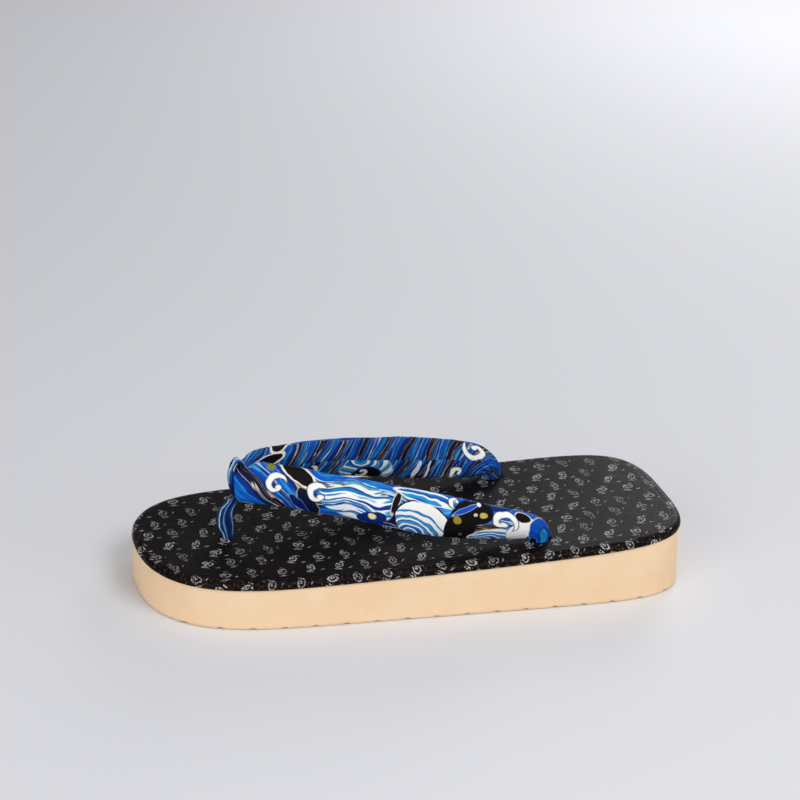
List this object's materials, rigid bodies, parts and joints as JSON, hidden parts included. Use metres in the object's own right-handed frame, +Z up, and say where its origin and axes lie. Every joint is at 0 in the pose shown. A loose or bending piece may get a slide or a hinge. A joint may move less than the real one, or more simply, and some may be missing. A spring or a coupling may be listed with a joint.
{
  "type": "thonged platform sandal",
  "caption": "Open sandal with a foam wedge sole, a flat dark covered footbed, a padded V-shaped fabric strap and a fabric toe loop.",
  "frame": {"origin": "on the floor, under the middle of the sole's length and width", "axes": "+Y towards the toe, along the sole; +X across the sole to the wearer's right; +Z up"},
  "size_m": [0.0944, 0.2556, 0.0623],
  "materials": {
    "sole_foam": "matt moulded foam, pale peach beige",
    "footbed_cover": "semi-gloss black coated cover with a fine lengthwise grain and small pale swirls",
    "strap_print": null,
    "loop_fabric": "folded cotton strip, navy with pale blue streaks"
  },
  "bodies": {
    "root": {"sole": "sole_foam", "footbed": "footbed_cover", "strap": "strap_print", "toe_loop": "loop_fabric"}
  },
  "joints": []
}
